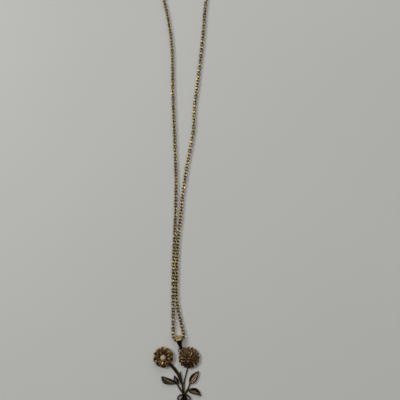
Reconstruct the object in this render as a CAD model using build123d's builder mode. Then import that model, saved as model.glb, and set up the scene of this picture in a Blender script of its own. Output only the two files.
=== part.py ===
from build123d import *
from collections import namedtuple
import math
import os

# A flower pendant on a fine cable chain, lying on its back as it is laid down on a table.
# Millimetres. X runs across the pendant, Y from its bow towards the clasp, Z up from the table.
# The origin is on the bouquet's flat back, under the knot where its stems are tied together.

# Chain
chain_width = 1.4            # across the links
chain_room = 0.3             # all round the chain where it passes through the bail
chain_droop = 0.35           # how far the chain stops short of the bail's rounded end
chain_turn = 1.25            # from each side of the bail to the middle of the chain's bend
chain_end_gap = 0.3          # between a chain's last link and the ring it ends on

# Hanging ring soldered behind the domed flower, and the bail that hangs on it
ring_wire = 0.4              # thickness of the ring's wire
ring_room = 0.25             # between the wire and the inside of the bail
ring_bearing = 136.8         # degrees, from the domed flower's middle
solder_depth = 0.25          # how far the wire runs into the flower's disc
petal_room = 0.25            # between the bail and the tips of the petals
strap = 0.32                 # thickness of the bail's metal
bail_length = 5.1
bail_top_width = 2.2
bail_foot_width = 0.85
bail_lean = 13.0             # degrees, from the Y direction towards -X

# Flowers
disc_height = 1.0            # the disc behind each flower
petal_overhang = 0.75        # how far the outer petals reach past the disc
petal_wall = 0.3
petal_root = 0.5             # width of a petal's root, as a share of its widest
petal_sink = 0.12            # how far a petal is let into what carries it
open_place = (-7.46, 13.0)
open_radius = 3.77
open_step = 0.4              # each ring of petals stands this much above the one outside it
open_cup = 0.45              # depth of an outer petal's hollow
bead_width = 2.0
bead_sink = 0.35             # how deep the bead sits in its socket
bead_room = 0.04
dome_place = (1.71, 12.81)
dome_radius = 3.7
dome_rise = 1.5              # the dome's height above its disc
dome_cup = 0.34              # depth of a pointed petal's hollow
dome_shoulder = 0.68         # how far along a pointed petal is widest, as a share of its length
dome_core = 0.62             # radius of the closed bud on the dome's top

# Stems, leaves and bow
open_stem = 0.8              # thickness of the open flower's stem
dome_stem = 0.5
stalk = 0.56                 # thickness of a leaf's stalk
back_share = 0.72            # height of a stem's middle line, as a share of its radius
stalk_reach = 4.2            # from the knot to the upper leaves
leaf_length = 5.2
leaf_height = 0.75
leaf_floor = 0.4             # the metal left under a leaf's hollow
leaf_rim = 0.3
leaf_margin = 0.6            # the metal left at each end of a leaf's hollow
leaf_hollow = 0.6            # a leaf whose hollow would be narrower than this is left solid
leaf_root = 1.0              # how far a stalk runs on into its leaf
knot_width = 1.5
knot_length = 1.3
knot_height = 1.15
knot_round = 0.28
knot_inside = 0.35           # how far from the knot's middle each stem starts
loop_radius = 1.0
loop_reach = 1.85
loop_height = 0.95
loop_eye = 0.1               # radius of the hole in a loop where it narrows towards the knot
ribbon = 0.42                # thickness of the bow's ribbon
tail_length = 4.2
tail_width = 0.7
tail_height = 0.6
stem_end = 0.56              # thickness of the stems below the knot
stem_end_length = 5.4
stem_bearing_open = -46.0    # degrees, where a stem leaves its flower
stem_bearing_dome = -94.0
open_bow = 1.25              # how far the stems bow from a straight line
dome_bow = 0.52

# Rings and clasp at the back of the neck
link_ring_radius = 1.6       # to the middle of the wire
link_ring_wire = 0.6
clasp_radius = 2.4           # to the middle of the tube
clasp_wire = 1.2
clasp_tilt = 15.0            # degrees, from lying flat
clasp_slack = 0.2            # between the clasp and each ring where they hang in each other
neck_top = 228.0             # Y of the clasp's middle

# The chain's route on the table from the bail to the clasp, as the photograph shows it up to about
# y = 147 and the plain way round beyond. Its bends at the bail are worked out from the bail below.
arc_share = 0.45             # how far each corner's arc reaches along its shorter run
left_route = (
    (-4.30, 26.8),
    (-4.50, 39.0),
    (-4.25, 55.0),
    (-3.40, 73.0),
    (-3.60, 90.0),
    (-4.75, 110.0),
    (-5.45, 129.0),
    (-8.40, 147.0),
    (-13.7, 162.0),
    (-19.8, 177.5),
    (-23.4, 194.5),
    (-21.2, 211.0),
    (-13.4, 223.0),
)
right_route = (
    (-1.45, 26.2),
    (-2.85, 35.0),
    (-2.80, 46.0),
    (-1.55, 62.0),
    (0.35, 80.0),
    (2.90, 95.0),
    (4.10, 110.0),
    (6.40, 128.0),
    (7.80, 146.5),
    (11.4, 162.0),
    (18.2, 177.5),
    (22.8, 194.5),
    (20.9, 211.0),
    (13.4, 223.0),
)

# Sizes that follow from those above
chain_radius = chain_width / 2
open_disc = open_radius - petal_overhang
dome_disc = dome_radius - petal_overhang
foot_inner = ring_wire / 2 + ring_room
foot_outer = foot_inner + strap
head_inner = chain_radius + chain_room
head_outer = head_inner + strap
chain_across = bail_top_width + 2 * chain_turn
bail_span = bail_length - foot_outer - head_outer
ring_far = dome_radius + petal_room + foot_outer
ring_near = dome_disc - solder_depth
ring_radius = (ring_far - ring_near) / 2


def polar(reach, bearing, start=(0.0, 0.0)):
    """The point at a distance and a compass bearing from +X, in degrees, from a start."""
    turn = math.radians(bearing)
    return (start[0] + reach * math.cos(turn), start[1] + reach * math.sin(turn))


ring_place = polar((ring_far + ring_near) / 2, ring_bearing, dome_place)
bail_bearing = 90.0 + bail_lean
foot_place = polar(ring_radius, bail_bearing, ring_place)


def petal(outline, root, height, length, tilt, cup):
    """A petal along +X from its root, tipped up by its tilt and hollowed along its length."""
    hollow = (length**2 / 4 + cup**2) / (2 * cup)
    seat = Plane(origin=(root, 0, height)).rotated((0, -tilt, 0))
    with BuildPart(seat) as blade:
        with BuildSketch(seat):
            add(outline)
        extrude(amount=hollow + petal_wall)
        with Locations((length / 2, 0, hollow + petal_wall)):
            Sphere(hollow + petal_wall, mode=Mode.INTERSECT)
            Sphere(hollow, mode=Mode.SUBTRACT)
    return blade.part


def rounded_outline(length, width):
    """A petal with a round end, drawn in towards its root."""
    with BuildSketch() as outline:
        with Locations((length - width / 2, 0)):
            Circle(width / 2)
        with Locations((width * petal_root / 2, 0)):
            Circle(width * petal_root / 2)
        make_hull()
    return outline.sketch


def pointed_outline(length, width):
    """A petal with a pointed tip, widest at its shoulders."""
    with BuildSketch() as outline:
        with BuildLine():
            Polyline(
                (0, -width * petal_root / 2),
                (length * dome_shoulder, -width / 2),
                (length, 0),
                (length * dome_shoulder, width / 2),
                (0, width * petal_root / 2),
                close=True,
            )
        make_face()
    return outline.sketch


# Rings of petals in the open flower, from its rim inwards. Reach is where the petals end, as a share
# of the flower's radius, and length their share of it. Fill is how much of its place in the ring a
# petal takes up, and turn how far the ring is turned, as a share of one place.
OpenRing = namedtuple("OpenRing", "count reach length fill step tilt turn")
open_rings = (
    OpenRing(count=10, reach=1.00, length=0.60, fill=0.96, step=0, tilt=4, turn=0.5),
    OpenRing(count=10, reach=0.68, length=0.42, fill=0.94, step=1, tilt=20, turn=0.0),
)


def open_floor(step):
    """The height that a ring of the open flower's petals stands on."""
    return disc_height + step * open_step


def open_width(ring):
    """The width of a petal that fills its place in the ring where it is roundest."""
    half_place = math.sin(math.pi / ring.count) * ring.fill
    return 2 * half_place * ring.reach * open_radius / (1 + half_place)


open_petals = [
    petal(
        rounded_outline(ring.length * open_radius, open_width(ring)),
        (ring.reach - ring.length) * open_radius,
        open_floor(ring.step) - petal_sink,
        ring.length * open_radius,
        ring.tilt,
        open_cup,
    )
    for ring in open_rings
]
socket_floor = open_floor(len(open_rings))
socket_radius = bead_width / 2 + bead_room
bead_height = socket_floor - bead_sink + bead_width / 2
standing = (Align.CENTER, Align.CENTER, Align.MIN)

with BuildPart() as open_flower:
    Cylinder(open_disc, disc_height, align=standing)
    for ring, blade in zip(open_rings, open_petals):
        with PolarLocations(0, ring.count, start_angle=ring.turn * 360 / ring.count):
            add(blade)
    Cylinder(socket_radius, socket_floor, align=standing)
    with Locations((0, 0, bead_height)):
        Sphere(socket_radius, mode=Mode.SUBTRACT)

# Rings of petals in the domed flower, from its rim inwards. Root is where a petal leaves the middle,
# height its share of the dome's rise, and length and width its shares of the flower's radius.
DomeRing = namedtuple("DomeRing", "count root height length width tilt turn")
dome_rings = (
    DomeRing(count=12, root=0.46, height=-0.10, length=0.54, width=0.41, tilt=6, turn=0.0),
    DomeRing(count=12, root=0.36, height=0.20, length=0.47, width=0.32, tilt=24, turn=0.5),
    DomeRing(count=10, root=0.24, height=0.46, length=0.38, width=0.25, tilt=44, turn=0.2),
    DomeRing(count=7, root=0.13, height=0.70, length=0.30, width=0.21, tilt=64, turn=0.4),
)

dome_petals = [
    petal(
        pointed_outline(ring.length * dome_radius, ring.width * dome_radius),
        ring.root * dome_radius,
        disc_height + ring.height * dome_rise,
        ring.length * dome_radius,
        ring.tilt,
        dome_cup,
    )
    for ring in dome_rings
]

with BuildPart() as dome_flower:
    with BuildSketch(Plane.XZ):
        with BuildLine():
            Polyline(
                (0, 0),
                (dome_disc, 0),
                (dome_disc, disc_height),
                (dome_core, disc_height + dome_rise),
                (0, disc_height + dome_rise),
                close=True,
            )
        make_face()
    revolve(axis=Axis.Z)
    for ring, blade in zip(dome_rings, dome_petals):
        with PolarLocations(0, ring.count, start_angle=ring.turn * 360 / ring.count):
            add(blade)
    with Locations((0, 0, disc_height + dome_rise)):
        Sphere(dome_core)


# Leaves, from the left round to the right. A leaf's foot is at the end of its stalk; the stalk's reach
# and bow are shares of stalk_reach. The leaf's length and the width of each side are shares of
# leaf_length, and left_at and right_at say how far along it each side is widest. The second row is a
# side lobe on the first leaf's foot, with no stalk of its own.
Leaf = namedtuple("Leaf", "toward reach bow bearing length left left_at right right_at")
leaves = (
    Leaf(123.3, 1.00, 0.12, 154.8, 1.22, 0.355, 0.68, 0.045, 0.50),
    Leaf(123.3, 0.98, None, 114.3, 0.65, 0.140, 0.45, 0.160, 0.24),
    Leaf(102.0, 0.68, -0.02, 97.5, 1.06, 0.080, 0.45, 0.080, 0.45),
    Leaf(60.4, 1.01, -0.05, 55.0, 1.00, 0.255, 0.40, 0.195, 0.43),
    Leaf(43.4, 0.55, 0.07, -27.3, 0.93, 0.300, 0.40, 0.125, 0.30),
)

# The ribbon's ends and the cut ends of the stems, by their bearing from the knot. A reach is a share
# of tail_length or of stem_end_length.
End = namedtuple("End", "bearing reach")
loop_bearings = (224.0, 307.0)
tails = (End(bearing=241.0, reach=1.00), End(bearing=294.0, reach=0.94))
stem_ends = (
    End(bearing=256.0, reach=1.00),
    End(bearing=268.0, reach=0.88),
    End(bearing=280.0, reach=1.04),
)


def beside(start, end, share, reach):
    """The point a share of the way from start to end, then reach to the left of that line."""
    across = ((end[0] - start[0]), (end[1] - start[1]))
    length = math.dist(start, end)
    return (
        start[0] + across[0] * share - across[1] / length * reach,
        start[1] + across[1] * share + across[0] / length * reach,
    )


def leaf_face(foot, tip, left, left_at, right, right_at):
    """A leaf's outline: one smooth curve up each side, from its foot to its tip."""
    with BuildSketch() as outline:
        with BuildLine():
            Spline(foot, beside(foot, tip, left_at, left), tip)
            Spline(tip, beside(foot, tip, right_at, -right), foot)
        make_face()
    return outline.sketch


def leaf_blade(leaf):
    """A leaf with a raised rim round a hollow; a slim one is left solid."""
    foot = polar(leaf.reach * stalk_reach, leaf.toward)
    tip = polar(leaf.length * leaf_length, leaf.bearing, foot)
    left = leaf.left * leaf_length
    right = leaf.right * leaf_length
    end_share = leaf_margin / math.dist(foot, tip)
    inner_foot = beside(foot, tip, end_share, 0)
    inner_tip = beside(foot, tip, 1 - end_share, 0)
    with BuildPart() as blade:
        with BuildSketch():
            add(leaf_face(foot, tip, left, leaf.left_at, right, leaf.right_at))
        extrude(amount=leaf_height)
        if left + right - 2 * leaf_rim > leaf_hollow:
            left -= leaf_rim
            right -= leaf_rim
            with BuildSketch(Plane.XY.offset(leaf_floor)):
                add(leaf_face(inner_foot, inner_tip, left, leaf.left_at, right, leaf.right_at))
            extrude(amount=leaf_height, mode=Mode.SUBTRACT)
    return blade.part


def rod(start, end, bow, thickness):
    """A stem with a flat back on the table, bowed to the left of its way by the given height."""
    radius = thickness / 2
    with BuildPart() as stem:
        with BuildLine() as route:
            if bow:
                SagittaArc(start, end, bow)
            else:
                Line(start, end)
        with BuildSketch(Plane(origin=route.line @ 0, x_dir=(0, 0, 1), z_dir=route.line % 0)):
            with Locations((radius * back_share, 0)):
                Circle(radius)
            Rectangle(radius, thickness, align=(Align.MAX, Align.CENTER), mode=Mode.SUBTRACT)
        sweep()
    return stem.part


def teardrop(middle, radius, point_radius):
    """The outline of a bow's loop, drawn in to a point at the knot."""
    with BuildSketch() as loop:
        Circle(point_radius)
        with Locations(middle):
            Circle(radius)
        make_hull()
    return loop.sketch


def from_knot(end, bow, thickness):
    """A stem to the given end from inside the knot, where each starts on its own side of the middle."""
    start = beside((0, 0), end, knot_inside / math.hypot(*end), 0)
    return rod(start, end, bow, thickness)


open_end = polar(open_disc - open_stem, stem_bearing_open, open_place)
dome_end = polar(dome_disc - dome_stem, stem_bearing_dome, dome_place)
rods = [from_knot(open_end, -open_bow, open_stem), from_knot(dome_end, dome_bow, dome_stem)]
for leaf in leaves:
    if leaf.bow is not None:
        foot = polar(leaf.reach * stalk_reach, leaf.toward)
        leaf_end = polar(leaf_root, leaf.bearing, foot)
        rods.append(from_knot(leaf_end, leaf.bow * stalk_reach, stalk))
for end in stem_ends:
    rods.append(from_knot(polar(end.reach * stem_end_length, end.bearing), 0, stem_end))
blades = [leaf_blade(leaf) for leaf in leaves]

with BuildPart() as tie:
    Box(knot_width, knot_length, knot_height, align=standing)
    fillet(tie.edges().filter_by(Axis.Z), knot_round)
    fillet(tie.faces().sort_by(Axis.Z)[-1].edges(), knot_round)

with BuildPart() as bouquet:
    for piece in [tie.part] + rods + blades:
        add(piece)
    for bearing in loop_bearings:
        middle = polar(loop_reach, bearing)
        with BuildSketch():
            add(teardrop(middle, loop_radius, ribbon))
            add(teardrop(middle, loop_radius - ribbon, loop_eye), mode=Mode.SUBTRACT)
        extrude(amount=loop_height)
    for tail in tails:
        tip = polar(tail.reach * tail_length, tail.bearing)
        with BuildSketch(Plane(origin=(0, 0, 0), x_dir=(tip[0], tip[1], 0), z_dir=(0, 0, 1))):
            Rectangle(tail.reach * tail_length, tail_width, align=(Align.MIN, Align.CENTER))
        extrude(amount=tail_height)
    with Locations((open_place[0], open_place[1], 0)):
        add(open_flower.part)
    with Locations((dome_place[0], dome_place[1], 0)):
        add(dome_flower.part)
    with Locations((ring_place[0], ring_place[1], foot_outer)):
        Torus(ring_radius, ring_wire / 2)

with BuildPart() as bead:
    with Locations((open_place[0], open_place[1], bead_height)):
        Sphere(bead_width / 2)

# The bail is a strap bent round the hanging ring and the chain, narrower towards its foot.
foot_spot = Vector(foot_place[0], foot_place[1], 0)
bail_way = Vector(polar(1, bail_bearing)[0], polar(1, bail_bearing)[1], 0)
bail_plan = Plane(origin=foot_spot, x_dir=bail_way, z_dir=(0, 0, 1))
bail_side = Plane(origin=foot_spot, x_dir=bail_way, z_dir=-bail_plan.y_dir)


def belt(foot_radius, head_radius):
    """The side view of a belt round two rollers, one at the bail's foot and one at its head."""
    with BuildSketch() as loop:
        with Locations((0, foot_outer)):
            Circle(foot_radius)
        with Locations((bail_span, head_outer)):
            Circle(head_radius)
        make_hull()
    return loop.sketch


with BuildPart() as bail:
    with BuildSketch(bail_side):
        add(belt(foot_outer, head_outer))
        add(belt(foot_inner, head_inner), mode=Mode.SUBTRACT)
    extrude(amount=bail_top_width, both=True)
    with BuildSketch(bail_plan):
        with BuildLine():
            Polyline(
                (-foot_outer, -bail_foot_width / 2),
                (bail_span + head_outer, -bail_top_width / 2),
                (bail_span + head_outer, bail_top_width / 2),
                (-foot_outer, bail_foot_width / 2),
                close=True,
            )
        make_face()
    extrude(amount=2 * head_outer, mode=Mode.INTERSECT)

# The rings at the back of the neck lie across each other, each tipped so that it rests on the table
# with its middle at the same height.
neck_height = clasp_radius * math.sin(math.radians(clasp_tilt)) + clasp_wire / 2
link_tilt = math.degrees(math.asin((neck_height - link_ring_wire / 2) / link_ring_radius))
link_reach = clasp_radius + link_ring_radius - (clasp_wire + link_ring_wire) / 2 - clasp_slack
chain_stop = link_reach + link_ring_radius + link_ring_wire / 2 + chain_end_gap


def neck_ring(x, radius, wire, tilt):
    """A wire ring at the back of the neck, tipped about the X direction."""
    with BuildPart() as ring:
        with Locations(Location((x, neck_top, neck_height), (tilt, 0, 0))):
            Torus(radius, wire / 2)
    return ring


jump_ring = neck_ring(-link_reach, link_ring_radius, link_ring_wire, -link_tilt)
end_ring = neck_ring(link_reach, link_ring_radius, link_ring_wire, -link_tilt)
clasp = neck_ring(0, clasp_radius, clasp_wire, clasp_tilt)

# Each half of the chain starts at the middle of the bail's head and ends at its ring.
head_middle = bail_plan.from_local_coords(Vector(bail_span - chain_droop, 0, head_outer))
bend = Vector(bail_plan.y_dir) * (chain_across / 2)


def chain_half(first_bend, route, side):
    """Half of the chain as a plain tube: straight runs joined by arcs as wide as the runs allow."""
    stop = Vector(side * chain_stop, neck_top, neck_height)
    on_table = [Vector(x, y, chain_radius) for x, y in route]
    points = [head_middle, first_bend] + on_table + [stop]
    radii = []
    for before, at, after in zip(points, points[1:], points[2:]):
        turn = math.radians((at - before).get_angle(after - at))
        shorter = min((at - before).length, (after - at).length)
        if before is head_middle:
            shorter = min(chain_across, (after - at).length)
        radii.append(arc_share * shorter / math.tan(turn / 2))
    with BuildPart() as tube:
        with BuildLine() as line:
            FilletPolyline(*points, radius=radii)
        with BuildSketch(Plane(origin=line.line @ 0, z_dir=line.line % 0)):
            Circle(chain_radius)
        sweep()
    length = line.wire().length
    print("arc radii", [round(radius, 1) for radius in radii])
    print("tube length", round(length, 2), "volume", round(tube.part.volume, 2))
    print("section times length", round(math.pi * chain_radius**2 * length, 2))
    return tube


chain_left = chain_half(head_middle + bend, left_route, -1)
chain_right = chain_half(head_middle - bend, right_route, 1)

os.makedirs("parts", exist_ok=True)
bouquet.part.label = "bouquet"
export_step(bouquet.part, "parts/bouquet.step")
bead.part.label = "bead"
export_step(bead.part, "parts/bead.step")
bail.part.label = "bail"
export_step(bail.part, "parts/bail.step")
chain_left.part.label = "chain_left"
export_step(chain_left.part, "parts/chain_left.step")
chain_right.part.label = "chain_right"
export_step(chain_right.part, "parts/chain_right.step")
jump_ring.part.label = "jump_ring"
export_step(jump_ring.part, "parts/jump_ring.step")
end_ring.part.label = "end_ring"
export_step(end_ring.part, "parts/end_ring.step")
clasp.part.label = "clasp"
export_step(clasp.part, "parts/clasp.step")
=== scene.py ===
# %% [markdown]
# # A cast flower pendant on a fine chain
# The necklace lies on a pale table, face up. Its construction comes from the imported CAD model, and this
# file gives it its looks: cast flowers and leaves, a chain of real links, and the finish of each metal.

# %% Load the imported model
import bmesh
import bpy
import math
import numpy as np
from collections import namedtuple
from mathutils import Matrix, Vector


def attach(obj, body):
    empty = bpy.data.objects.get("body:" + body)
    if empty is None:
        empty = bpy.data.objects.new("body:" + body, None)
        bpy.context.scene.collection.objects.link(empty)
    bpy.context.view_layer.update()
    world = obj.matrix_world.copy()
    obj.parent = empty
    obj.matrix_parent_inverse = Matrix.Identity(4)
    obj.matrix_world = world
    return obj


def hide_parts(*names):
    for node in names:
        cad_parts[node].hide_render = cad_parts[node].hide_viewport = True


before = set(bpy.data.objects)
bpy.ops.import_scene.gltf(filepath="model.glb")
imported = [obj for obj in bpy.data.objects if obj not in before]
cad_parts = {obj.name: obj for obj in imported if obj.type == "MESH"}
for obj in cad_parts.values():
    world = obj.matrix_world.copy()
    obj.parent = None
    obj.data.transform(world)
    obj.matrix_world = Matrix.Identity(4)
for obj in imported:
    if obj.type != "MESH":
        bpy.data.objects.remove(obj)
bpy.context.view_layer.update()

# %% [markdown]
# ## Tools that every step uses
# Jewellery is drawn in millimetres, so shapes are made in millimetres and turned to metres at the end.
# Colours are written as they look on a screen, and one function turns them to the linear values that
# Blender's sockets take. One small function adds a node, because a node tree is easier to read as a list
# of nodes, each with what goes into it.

MM = 0.001
scene = bpy.context.scene


def colour(code):
    """A screen colour such as D9B46A as linear red, green, blue and alpha."""
    shares = [int(code[i : i + 2], 16) / 255 for i in (0, 2, 4)]
    return [s / 12.92 if s <= 0.04045 else ((s + 0.055) / 1.055) ** 2.4 for s in shares] + [1.0]


def add_node(tree, kind, sockets=None, **settings):
    """Adds a node with its settings; each socket takes a plain value or another node's output."""
    node = tree.nodes.new(kind)
    for name, value in settings.items():
        setattr(node, name, value)
    for socket, value in (sockets or {}).items():
        if isinstance(value, bpy.types.NodeSocket):
            tree.links.new(value, node.inputs[socket])
        else:
            node.inputs[socket].default_value = value
    return node


def new_object(name, data):
    """An object at the origin, unturned and unscaled, in the scene."""
    made = bpy.data.objects.new(name, data)
    scene.collection.objects.link(made)
    return made


print("half grey on a screen is", round(colour("808080")[0], 3), "in linear light")

# %% [markdown]
# ## The camera
# The photograph looks almost straight down on the necklace, from some twenty centimetres above it, and
# the object fills a narrow band of the picture. The camera's height and lean were worked out from the
# chain's links, which look smaller towards the top of the picture.

# %% Camera
camera_place = Vector((5.639, 50.202, 191.614)) * MM
camera_lean = math.radians(5.778)
lens_mm = 46.8

camera_data = bpy.data.cameras.new("camera")
camera_data.lens = lens_mm
camera_data.clip_start = 1 * MM
camera = new_object("camera", camera_data)
camera.location = camera_place
camera.rotation_euler = (camera_lean, 0, 0)
scene.camera = camera
print("camera", round(camera_place.z / MM), "mm above the table")

# %% [markdown]
# ## Table and light
# Polished gold has little tone of its own: it shows what is around it. In the photograph the faces that
# lean away are nearly black and rounded ones have bright spots. So the room is dark, with two pale places
# for the metal to mirror, its far side and a patch of ceiling. The lamps are soft area lights. The key
# light on the left throws the short shadows, and the window stands at the far side. A card on the right
# is there for the metal alone, and a wide overhead light for the table alone, where it softens the
# shadows: Cycles lets a lamp leave out diffuse or glossy rays. The Light Path node gives the camera a
# plain backdrop where it looks past the table.

# %% Table
table_size = 3.0
table_below = 0.02 * MM
table_cloud_mm = 70          # a matt laminate top is even, and only gets a shade lighter and darker by turns
backdrop_colour = colour("C8C8C5")

table_finish = bpy.data.materials.new("table_matt_laminate")
table_finish.use_nodes = True
tree = table_finish.node_tree
tree.nodes.clear()
position = add_node(tree, "ShaderNodeTexCoord").outputs["Object"]
clouds = add_node(
    tree, "ShaderNodeTexNoise", {"Vector": position, "Scale": 1 / (table_cloud_mm * MM), "Detail": 3.0}
)
tint = add_node(
    tree,
    "ShaderNodeMix",
    {0: clouds.outputs[0], "A": backdrop_colour, "B": colour("CCCCCA")},
    data_type="RGBA",
)
board = add_node(tree, "ShaderNodeBsdfPrincipled", {"Base Color": tint.outputs["Result"], "Roughness": 0.55})
add_node(tree, "ShaderNodeOutputMaterial", {"Surface": board.outputs[0]})

table = bmesh.new()
bmesh.ops.create_grid(table, x_segments=2, y_segments=2, size=table_size / 2)
bmesh.ops.translate(table, verts=table.verts, vec=(0, 0, -table_below))
table_mesh = bpy.data.meshes.new("table")
table.to_mesh(table_mesh)
table_mesh.materials.append(table_finish)
new_object("table", table_mesh)
print("table", table_size, "m wide,", round(table_below / MM, 2), "mm below the necklace")

# %% Lamps
Lamp = namedtuple("Lamp", "name place size power on_table in_metal")
middle = Vector((0, 50, 0)) * MM
lamps = (
    Lamp("key_left", Vector((-0.72, 0.38, 0.79)), 0.31, 6.0, True, True),
    Lamp("window_far", Vector((0.20, 0.95, 0.50)), 0.60, 3.0, True, True),
    Lamp("card_right", Vector((0.80, -0.16, 0.42)), 0.40, 2.2, False, True),
    Lamp("soft_overhead", Vector((0.16, 0.0, 1.20)), 1.50, 3.1, True, False),
)
for lamp in lamps:
    data = bpy.data.lights.new(lamp.name, "AREA")
    data.size = lamp.size
    data.energy = lamp.power
    light = new_object(lamp.name, data)
    light.location = middle + lamp.place
    light.rotation_euler = (-lamp.place).to_track_quat("-Z", "Y").to_euler()
    light.visible_camera = False
    light.visible_diffuse = lamp.on_table
    light.visible_glossy = lamp.in_metal
    print(lamp.name, round(lamp.place.length, 2), "m away,", lamp.power, "W")

# %% The room
window_wall = (0.0, 0.80, -0.60)
ceiling = (0.0, 0.12, 0.99)
room_strength = 0.68

scene.world = bpy.data.worlds.new("studio")
scene.world.use_nodes = True
tree = scene.world.node_tree
tree.nodes.clear()
direction = add_node(tree, "ShaderNodeTexCoord").outputs["Generated"]
towards = add_node(tree, "ShaderNodeVectorMath", {0: direction, 1: window_wall}, operation="DOT_PRODUCT")
pale = add_node(
    tree, "ShaderNodeMapRange", {"Value": towards.outputs["Value"], "From Min": -0.3, "From Max": 0.8}
)
room = add_node(
    tree,
    "ShaderNodeMix",
    {0: pale.outputs[0], "A": colour("0C0C0C"), "B": colour("C8C6C0")},
    data_type="RGBA",
)
overhead = add_node(tree, "ShaderNodeVectorMath", {0: direction, 1: ceiling}, operation="DOT_PRODUCT")
glow = add_node(
    tree,
    "ShaderNodeMapRange",
    {"Value": overhead.outputs["Value"], "From Min": 0.84, "From Max": 0.93, "To Max": 0.8},
)
lit = add_node(
    tree,
    "ShaderNodeMix",
    {0: glow.outputs[0], "A": room.outputs["Result"], "B": colour("E6E4DE")},
    data_type="RGBA",
)
seen = add_node(tree, "ShaderNodeLightPath").outputs["Is Camera Ray"]
backdrop = add_node(
    tree, "ShaderNodeMix", {0: seen, "A": lit.outputs["Result"], "B": backdrop_colour}, data_type="RGBA"
)
background = add_node(
    tree, "ShaderNodeBackground", {"Color": backdrop.outputs["Result"], "Strength": room_strength}
)
add_node(tree, "ShaderNodeOutputWorld", {"Surface": background.outputs[0]})
scene.view_settings.view_transform = "Standard"
print("room of", len(tree.nodes), "nodes")

# %% [markdown]
# ## The metals
# Every metal here is brass with a thin gold plating, and what differs is how the surface was made. The
# pendant is cast, browned in an antiquing bath and tumbled, which rubs clean what stands proud and leaves
# the hollows dull and dark. So the cast finish reads an attribute named hollow, which says how far a
# point lies below its surroundings. The bail, rings and clasp are polished all over, and the links are
# drawn wire. A metal's tone is its Base Color, and its gloss is its Roughness. The leaves and the links
# also carry painted light in their tone: a painted sheen in the leaves' hollows, and a painted highlight
# and painted shade on each link.

# %% The cast finish
grain_mm = 0.12              # texture left by the casting mould; the real grain is finer than a pixel here
grain_depth_mm = 0.02


def new_finish(name):
    """A material with an empty node tree."""
    finish = bpy.data.materials.new(name)
    finish.use_nodes = True
    finish.node_tree.nodes.clear()
    return finish, finish.node_tree


def cast_gold(name, raised, sunken, raised_gloss, sunken_gloss):
    """Plated brass as cast and tumbled: one tone and gloss on what stands proud, another in the hollows."""
    finish, tree = new_finish(name)
    hollow = add_node(tree, "ShaderNodeAttribute", attribute_name="hollow").outputs["Fac"]
    position = add_node(tree, "ShaderNodeTexCoord").outputs["Object"]
    grain = add_node(tree, "ShaderNodeTexNoise", {"Vector": position, "Scale": 1 / (grain_mm * MM)})
    depth = add_node(
        tree, "ShaderNodeMath", {0: grain.outputs[0], 1: 0.5, 2: hollow}, operation="MULTIPLY_ADD"
    )
    share = add_node(
        tree, "ShaderNodeMapRange", {"Value": depth.outputs[0], "From Min": 0.1, "From Max": 0.9}
    )
    tone = add_node(
        tree,
        "ShaderNodeMix",
        {0: share.outputs[0], "A": colour(raised), "B": colour(sunken)},
        data_type="RGBA",
    )
    gloss = add_node(
        tree,
        "ShaderNodeMapRange",
        {"Value": share.outputs[0], "To Min": raised_gloss, "To Max": sunken_gloss},
    )
    bump = add_node(
        tree,
        "ShaderNodeBump",
        {"Height": grain.outputs[0], "Strength": 0.15, "Distance": grain_depth_mm * MM},
    )
    metal = add_node(
        tree,
        "ShaderNodeBsdfPrincipled",
        {
            "Base Color": tone.outputs["Result"],
            "Metallic": 1.0,
            "Roughness": gloss.outputs[0],
            "Normal": bump.outputs[0],
        },
    )
    add_node(tree, "ShaderNodeOutputMaterial", {"Surface": metal.outputs[0]})
    return finish


# The open flower is rubbed most and the domed one less. The stems are dark and satin, the bow is darker
# and glossy. The leaves' finish holds painted light: their hollows are satin and painted pale, a painted
# sheen, inside a rim painted near black, a painted reflection of the dark room.
antique = cast_gold("antiqued_cast_brass", "7E6442", "22130C", 0.36, 0.55)
antique_dark = cast_gold("darker_antiqued_cast_brass", "665236", "1C0E0A", 0.38, 0.55)
antique_satin = cast_gold("antiqued_satin_brass", "4A3E2A", "140C08", 0.27, 0.5)
antique_polished = cast_gold("antiqued_and_polished_brass", "30261A", "140C08", 0.18, 0.5)
leaf_painted_sheen = cast_gold("cast_brass_with_brushed_hollows", "261B11", "908264", 0.2, 0.4)
print("cast finishes with a grain of", grain_mm, "mm")

# %% The polished finish
wear_mm = 1.1                # the length over which the polish gets better and worse


def polished_gold():
    """Plated brass buffed to a mirror, with the hair-fine scratches that wearing leaves."""
    finish, tree = new_finish("polished_gold_plated_brass")
    position = add_node(tree, "ShaderNodeTexCoord").outputs["Object"]
    wear = add_node(
        tree, "ShaderNodeTexNoise", {"Vector": position, "Scale": 1 / (wear_mm * MM), "Detail": 4.0}
    )
    gloss = add_node(tree, "ShaderNodeMapRange", {"Value": wear.outputs[0], "To Min": 0.08, "To Max": 0.24})
    metal = add_node(
        tree,
        "ShaderNodeBsdfPrincipled",
        {"Base Color": colour("F0CC90"), "Metallic": 1.0, "Roughness": gloss.outputs[0]},
    )
    add_node(tree, "ShaderNodeOutputMaterial", {"Surface": metal.outputs[0]})
    return finish


polished = polished_gold()
print("polished finish with wear over", wear_mm, "mm")

# %% The chain's finish


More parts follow.
